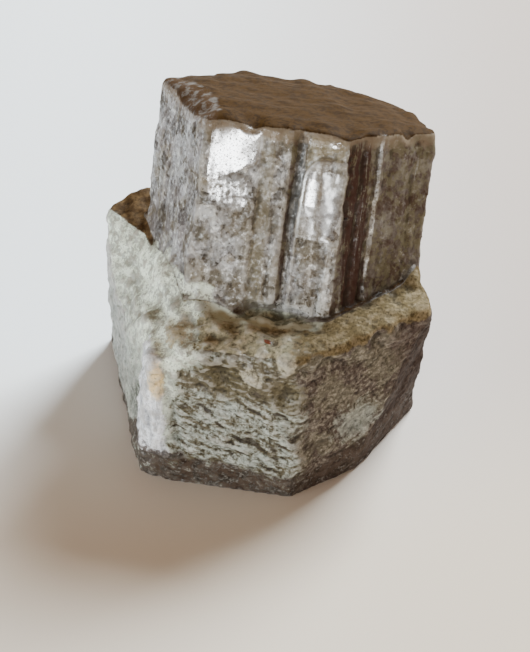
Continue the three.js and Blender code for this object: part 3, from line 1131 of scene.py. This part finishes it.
ledge_tint = layer(LEDGE_OLIVE, LEDGE_TAN, patchy(-0.05, 0.12, 0.3))
ledge_tint = layer(ledge_tint, pale, step(zone["pale"] + 1.4 * torn, 0.35, 0.6))
wing_tint = layer(WING_TAN, WING_BROWN, patchy(-0.08, 0.1))
shoulder_tint = layer(SHOULDER_TAN, SHOULDER_PALE, patchy(-0.06, 0.1))
lower_body = coats(
    lower_body,
    (ledge_tint, step(zone["ledge"] + torn, 0.3, 0.8)),
    (wing_tint, step(zone["wing"] + ragged, 0.4, 0.7)),
    (shoulder_tint, 0.95 * step(zone["shoulder"] + 0.8 * torn, 0.2, 0.7)),
)
for patch_tint, middle, reach in PATCHES:
    patch = step(skin.spot(place, middle, (reach, reach, reach)) + torn, 0.05, 0.6)
    lower_body = layer(lower_body, patch_tint, 0.85 * patch)
print("patches on the rim:", len(PATCHES))

# %% [markdown]
# Grit lies over the whole lower crystal as lighter and darker grains of the same stone. Under the foot of
# the upper crystal lie a pale crust, partly its own colour and partly painted light that brightens the
# shaded corner, and a painted dark green shade, and one small red spot sits on the ledge.

# %% Grit, shade and the red spot
LIGHT_GRIT = (1.7, 1.7, 1.7)
DARK_GRIT = (0.35, 0.35, 0.35)
RED_SPOT = tint(0.22, 0.06, 0.025)
RED_MIDDLE, RED_SIZE = (0, -14.6, 18.6), (0.5, 0.4, 0.5)
FOOT_CRUST_AND_LIGHT = tint(0.56, 0.6, 0.5)
FOOT_PAINTED_SHADE = tint(0.14, 0.16, 0.13)

light_body = skin.vector("MULTIPLY", lower_body, LIGHT_GRIT)
dark_body = skin.vector("MULTIPLY", lower_body, DARK_GRIT)
red_spot = step(skin.spot(place, RED_MIDDLE, RED_SIZE) + ragged, 0, 0.3)
foot_crust_and_light = step(mark["shade"] * (1 + 1.5 * torn), 0.03, 0.4)
lower_body = coats(
    lower_body,
    (light_body, 0.6 * step(speck, 0.02, 0.14)),
    (dark_body, 0.8 * step(0 - speck, 0.02, 0.14)),
    (RED_SPOT, red_spot),
    # The pale crust is partly painted light in the shaded corner, and the dark green tint is painted
    # shade.
    (FOOT_CRUST_AND_LIGHT, 0.85 * foot_crust_and_light),
    (FOOT_PAINTED_SHADE, 0.8 * step(mark["shade"] + 1.4 * torn, 0.75, 1.05)),
)
tell_nodes()

# %% [markdown]
# Now the two crystals are put together. The crust climbs the upper one at the join, a tan rim runs under
# the top, the top itself is brown, and its left edge is worn to red and grey.

# %% Both crystals and the top
TOP_BROWN = tint(0.043, 0.021, 0.0052)
TOP_DARK = tint(0.024, 0.0115, 0.003)
RIM_TAN = tint(0.19, 0.145, 0.098)
WORN_RED = tint(0.12, 0.08, 0.06)
WORN_GREY = tint(0.3, 0.28, 0.26)

top_tint = layer(TOP_BROWN, TOP_DARK, grainy(-0.06, 0.12, 0.7))
worn_tint = layer(WORN_RED, WORN_GREY, patchy(-0.03, 0.1))
upper_body = layer(upper_body, pale, 0.8 * step(zone["climb"] + torn, 0.3, 0.8))
body = coats(
    lower_body,
    (upper_body, step(zone["upper"] + 0.4 * ragged, 0.4, 0.6)),
    (RIM_TAN, 0.8 * step(zone["rim"] + torn, 0.3, 1)),
    (top_tint, step(zone["top"] + 0.7 * ragged, 0.2, 0.9)),
    (worn_tint, 0.4 * step(zone["worn"] + torn, 0.5, 1.2)),
)
tell_nodes()

# %% [markdown]
# Dirt darkens the hollows and wear lightens the ridges, except where crust or the dark foot covers them.
# The dark band along the foot comes last, so it lies over everything else.

# %% Dirt, worn ridges and the foot
HOLLOW_DIRT = tint(0.022, 0.019, 0.015)
RIDGE_WEAR = tint(0.55, 0.53, 0.48)
FOOT_BROWN = tint(0.07, 0.048, 0.036)
FOOT_DARK = tint(0.022, 0.014, 0.01)
FOOT_GRIT = tint(0.16, 0.14, 0.125)
FINE_DEPTH = (0.012, 0.05)
WIDE_DEPTH = (0.3, 0.9)

fine_hollow = skin.attribute("fine_hollow")
wide_dirt = step(skin.attribute("wide_hollow"), *WIDE_DEPTH) * zone["dirty"] * (1 - zone["ledge"])
fine_dirt = step(fine_hollow, *FINE_DEPTH) * (0.2 + 0.8 * zone["dirty"]) * (1 - zone["junction"])
bare = (1 - zone["rim"]) * (1 - zone["shoulder"]) * (1 - zone["wing"])
ridges = step(0 - fine_hollow, *FINE_DEPTH) * bare * (1 - 0.8 * zone["right"]) * (1 - mark["band"])
foot_tint = layer(FOOT_BROWN, FOOT_DARK, patchy(-0.08, 0.1, 0.5))
foot_tint = layer(foot_tint, FOOT_GRIT, 0.7 * grainy(0.04, 0.16))
body = coats(
    body,
    (HOLLOW_DIRT, 0.2 * wide_dirt),
    (HOLLOW_DIRT, 0.5 * fine_dirt),
    (RIDGE_WEAR, 0.3 * ridges),
    (foot_tint, 0.9 * step(zone["foot"] * (1 + 2.5 * torn), 0.3, 0.75)),
)
tell_nodes()

# %% [markdown]
# The flat slices are almost polished and only pitted a little. Elsewhere the glassy grains each face their
# own way. That could be modelled, but the grains are too small, so random cells tilt the normal instead.

# %% Flash, sheen and fine grain
FACET_SIZE = 0.7
FACET_TILT = 0.45
BUMP_STRENGTH = 0.4
BUMP_HEIGHT = 0.25 * MM

pitted = step(skin.noise(place, 5, 3, 0.6), 0.36, 0.44)
flash = step(mark["flash"] + 0.9 * ragged, 0.4, 0.55) * pitted
sheen = step(mark["sheen"] + ragged, 0.4, 0.6)
polish = skin.larger(flash, 0.45 * sheen)
drawn_height = 0.4 * (fine_drawn + 0.5) * (1 - zone["rim"])
height = (0.5 * speck + drawn_height + 0.3 * mottle + 0.4) * (1 - 0.8 * flash)
bump_values = {"Height": height, "Strength": BUMP_STRENGTH, "Distance": BUMP_HEIGHT}
bump = skin.node("ShaderNodeBump", {}, bump_values)
tilt = skin.vector("SUBTRACT", skin.cells(place, 1 / FACET_SIZE), (0.5, 0.5, 0.5))
tilt = skin.scaled(tilt, FACET_TILT * (1 - polish))
facet = skin.vector("NORMALIZE", skin.vector("ADD", bump, tilt), (0, 0, 0))
tell_nodes()

# %% [markdown]
# Aragonite is glassy on its growth faces and dull where it is weathered. One shader with a varying shine
# would make every grain half glassy, so a dull and a glassy shader are mixed, grain by grain.

# %% Dull and glassy stone
DULL_ROUGHNESS = 0.7
DULL_SHINE = 0.05
ARAGONITE_IOR = 1.65
COAT_IOR = 2
COAT_ROUGHNESS = 0.17

glassy_share = step(speck + 0.6 * cloud, -0.1, 0.1) * (0.4 + 0.5 * zone["upper"])
glassy_share = glassy_share * (1 - zone["top"]) * (1 - zone["wing"]) * (1 - 0.8 * zone["shoulder"])
glassy_share = glassy_share * (1 - 0.7 * zone["right"]) * (1 - 0.6 * mark["band"])
glassy_share = skin.larger(skin.larger(glassy_share, 0.9 * sheen), flash)
dull = skin.shader(Base_Color=body, Roughness=DULL_ROUGHNESS, Normal=bump, Specular_IOR_Level=DULL_SHINE)
glassy = skin.shader(
    Base_Color=body, Roughness=0.26 - 0.11 * flash, Normal=facet, IOR=ARAGONITE_IOR,
    Coat_Weight=polish, Coat_IOR=COAT_IOR, Coat_Roughness=COAT_ROUGHNESS
)
stone_skin = skin.node("ShaderNodeMixShader", {}, {0: glassy_share, 1: dull, 2: glassy})
stone_mesh.materials.clear()
stone_mesh.materials.append(skin.surface(stone_skin))
print("nodes in the stone's finish:", len(skin.tree.nodes))

# %% [markdown]
# The carved stone takes the place of the solid, so the solid is hidden, and the stone moves with the part.

# %% Place in the part
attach(stone, "root")
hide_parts(NODE)
print("the stone stands for", NODE)
